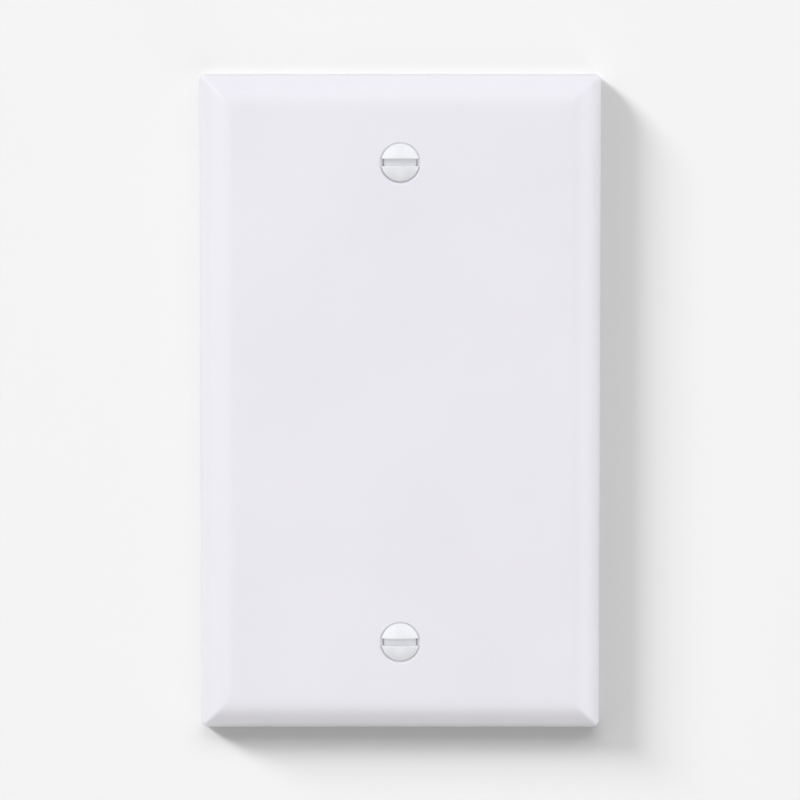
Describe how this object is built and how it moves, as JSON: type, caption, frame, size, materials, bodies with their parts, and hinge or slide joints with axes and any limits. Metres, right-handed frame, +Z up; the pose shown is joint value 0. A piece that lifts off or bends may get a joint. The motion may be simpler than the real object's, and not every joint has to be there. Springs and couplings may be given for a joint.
{
  "type": "wall plate cover",
  "caption": "Blank single-gang wall plate cover with a curved bevel and a hollow, ribbed back, held by slotted oval-head screws.",
  "frame": {"origin": "centre of the plate, midway between the two screws, in the plane of the wall that its rim lies on", "axes": "+Z up the plate, +X across it to the right as seen from the front, +Y into the wall, so the face looks along -Y"},
  "size_m": [0.0698, 0.017, 0.1142],
  "materials": {
    "plate_plastic": "satin",
    "screw_paint": "satin"
  },
  "bodies": {
    "plate": {"cover_plate": "plate_plastic"},
    "upper_fastener": {"upper_screw": "screw_paint"},
    "lower_fastener": {"lower_screw": "screw_paint"}
  },
  "joints": [
    {"name": "upper_screw_turn", "type": "hinge", "parent": "plate", "child": "upper_fastener", "pos_m": [0, 0, 0.04167], "axis": [0, -1, 0], "continuous": true},
    {"name": "lower_screw_turn", "type": "hinge", "parent": "plate", "child": "lower_fastener", "pos_m": [0, 0, -0.04167], "axis": [0, -1, 0], "continuous": true}
  ]
}
